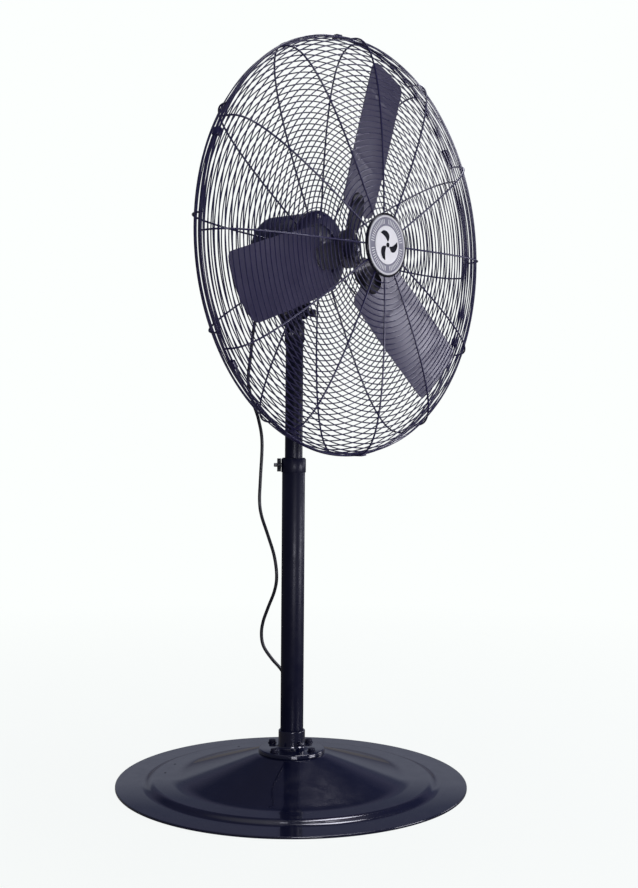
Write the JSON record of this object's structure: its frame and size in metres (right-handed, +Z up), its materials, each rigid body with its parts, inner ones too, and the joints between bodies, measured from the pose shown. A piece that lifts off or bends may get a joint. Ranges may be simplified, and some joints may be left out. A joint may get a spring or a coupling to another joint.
{
  "type": "pedestal fan",
  "caption": "Pedestal fan with a round wire guard, paddle blades, telescoping pole, tilting and swivelling head, and a pressed round base.",
  "frame": {"origin": "centre of the round base, on the floor", "axes": "+Z up the pole, -Y the way the fan blows, +X to the right of someone facing the front of the fan"},
  "size_m": [0.945, 0.8268, 1.5066],
  "materials": {
    "base_gloss": "gloss black enamel",
    "frame_black": "satin black enamel",
    "guard_wire": "gloss black coated wire",
    "motor_black": "satin black enamel",
    "blade_grey": "dark grey satin enamel",
    "spider_grey": "dark satin enamel",
    "steel": "zinc plated",
    "bearing_steel": "ground",
    "core_iron": "laminated sheet",
    "copper": "enamelled wire",
    "knob_plastic": "moulded",
    "nylon": "natural nylon",
    "cap_plastic": "moulded",
    "badge_rim": "gloss",
    "badge_silver": "gloss silver",
    "cord_pvc": "flexible PVC",
    "plug_pins": "bright"
  },
  "bodies": {
    "stand": {"base_plate": "base_gloss", "pole_flange": "base_gloss", "flange_bolts": "frame_black", "flange_washers": "frame_black", "flange_nuts": "steel", "flange_set_screws": "frame_black", "outer_pole": "frame_black", "pole_collar": "frame_black", "collar_bushing": "nylon", "cord_run": "cord_pvc", "cord_hank": "cord_pvc", "hank_tie": "knob_plastic", "cord_tail": "cord_pvc", "plug_body": "cord_pvc", "plug_pins": "plug_pins"},
    "clamp": {"clamp_knob": "knob_plastic", "clamp_screw": "steel"},
    "mast": {"inner_pole": "frame_black", "mast_glide": "nylon", "mast_head": "frame_black", "mast_pin": "steel", "cord_gland": "cord_pvc"},
    "neck": {"neck_post": "frame_black", "tilt_bolt": "steel", "tilt_washers": "steel"},
    "tilt_handle": {"tilt_knob": "knob_plastic"},
    "head": {"motor_bracket": "motor_black", "bracket_screws": "steel", "motor_shell": "motor_black", "front_bell": "motor_black", "rear_bell": "motor_black", "through_bolts": "steel", "stator_core": "core_iron", "stator_windings": "copper", "front_bearing": "bearing_steel", "rear_bearing": "bearing_steel", "capacitor": "cap_plastic", "switch_box": "motor_black", "switch_shaft": "steel", "guard_mount_plate": "motor_black", "guard_screws": "steel", "rear_guard_frame": "guard_wire", "rear_guard_rings": "guard_wire", "front_guard_frame": "guard_wire", "front_guard_rings": "guard_wire", "guard_clips": "guard_wire", "badge_plate": "badge_rim", "badge_face": "badge_silver", "badge_stud": "steel"},
    "speed_dial": {"speed_knob": "knob_plastic"},
    "rotor": {"rotor_core": "core_iron", "shaft": "bearing_steel", "blade_hub": "motor_black", "hub_set_screw": "steel", "blade_spider": "spider_grey", "blade_1": "blade_grey", "blade_2": "blade_grey", "blade_3": "blade_grey", "blade_rivets": "steel"}
  },
  "joints": [
    {"name": "height_slide", "type": "slide", "parent": "stand", "child": "mast", "axis": [0, 0, 1], "range_m": [-0.2, 0.22], "deforming": ["cord_run"]},
    {"name": "clamp_knob_turn", "type": "hinge", "parent": "stand", "child": "clamp", "pos_m": [0, 0, 0.659], "axis": [-0.6561, 0.7547, 0], "range_deg": [0, 360]},
    {"name": "head_swivel", "type": "hinge", "parent": "mast", "child": "neck", "pos_m": [0, 0, 0.957], "axis": [0, 0, 1], "range_deg": [-60, 60]},
    {"name": "tilt_knob_turn", "type": "hinge", "parent": "neck", "child": "tilt_handle", "pos_m": [0.0461, 0, 0.976], "axis": [1, 0, 0], "range_deg": [0, 360]},
    {"name": "head_tilt", "type": "hinge", "parent": "neck", "child": "head", "pos_m": [0, 0, 0.976], "axis": [1, 0, 0], "range_deg": [-15, 10]},
    {"name": "speed_knob_turn", "type": "hinge", "parent": "head", "child": "speed_dial", "pos_m": [0, 0.0918, 1.107], "axis": [0, 1, 0], "range_deg": [-135, 0]},
    {"name": "blade_spin", "type": "hinge", "parent": "head", "child": "rotor", "pos_m": [0, -0.14, 1.093], "axis": [0, -1, 0], "continuous": true}
  ]
}
